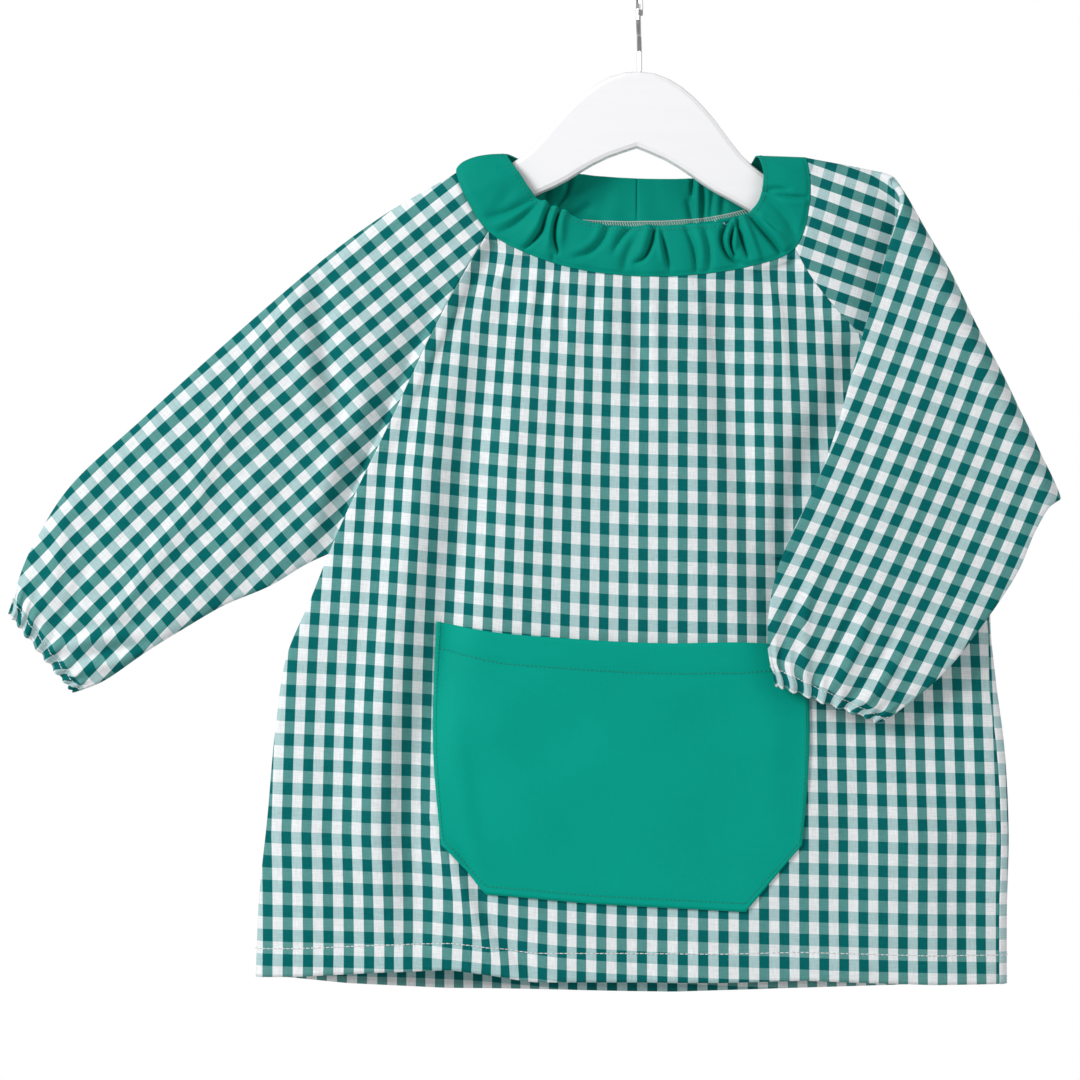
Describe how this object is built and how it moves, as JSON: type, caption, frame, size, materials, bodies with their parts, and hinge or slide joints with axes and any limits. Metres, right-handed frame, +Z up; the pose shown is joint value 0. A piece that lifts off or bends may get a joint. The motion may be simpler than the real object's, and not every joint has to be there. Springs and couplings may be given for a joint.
{
  "type": "school smock on a hanger",
  "caption": "child's raglan school smock in gingham with a gathered plain neck band and a wide patch pocket, hung on a wooden hanger with a wire hook, one sleeve folded across the front",
  "frame": {"origin": "top of the hook's inside, where it rests on the rail", "axes": "+Z up, the smock's front to -Y, +X to the wearer's left"},
  "size_m": [0.6331, 0.0456, 0.6153],
  "materials": {
    "gingham": "matte plain weave, dark green and white checks",
    "plain_green": "matte plain weave, green",
    "white_paint": "wood painted white, satin",
    "steel": "bright steel wire"
  },
  "bodies": {
    "root": {"body_front": "gingham", "body_back": "gingham", "sleeve_right": "gingham", "sleeve_left": "gingham", "collar": "plain_green", "pocket": "plain_green", "hanger": "white_paint", "hook": "steel"}
  },
  "joints": []
}
